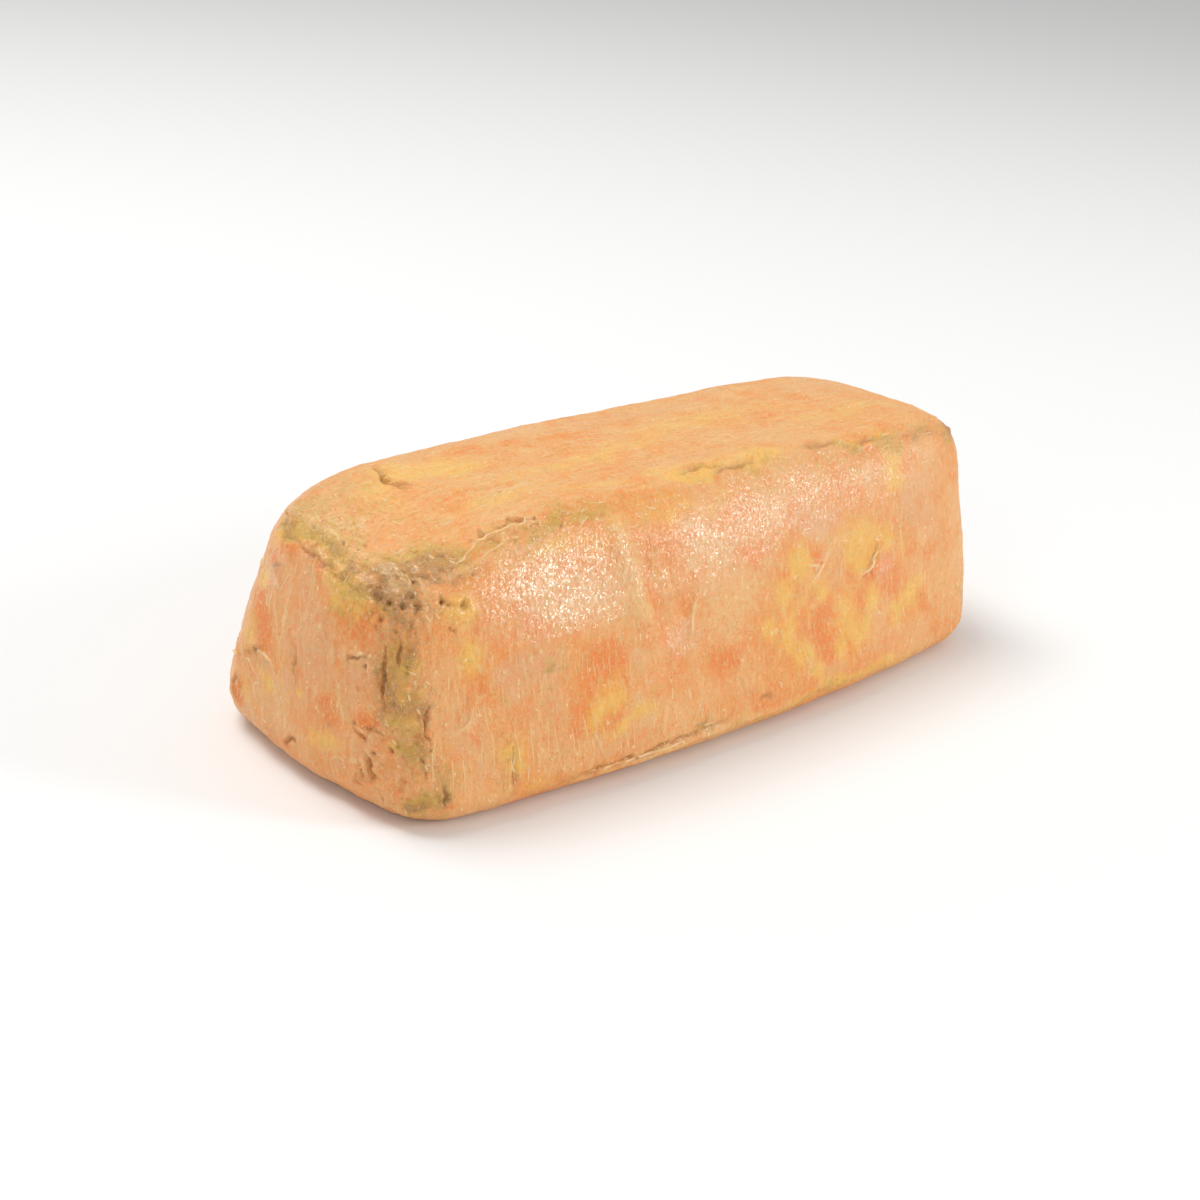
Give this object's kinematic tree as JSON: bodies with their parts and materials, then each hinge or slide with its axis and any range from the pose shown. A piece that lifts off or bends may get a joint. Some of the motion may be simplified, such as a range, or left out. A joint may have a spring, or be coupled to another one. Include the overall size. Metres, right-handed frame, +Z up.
{
  "type": "foie gras terrine block",
  "caption": "Pressed foie gras block turned out of a terrine mould: a bulging, tapered loaf with worn shoulders, marbled fat and a flat base to rest on.",
  "frame": {"origin": "centre of the flat base, under the middle of the bounding box", "axes": "+X along the block's length, away from the sloping end with the slumped corner; -Y towards the long front face; +Z up"},
  "size_m": [0.159, 0.0722, 0.0512],
  "materials": {
    "foie_gras": "moist and fatty, satin sheen, marbled pink-orange liver and yellow fat"
  },
  "bodies": {
    "root": {"foie_gras_block": "foie_gras"}
  },
  "joints": []
}
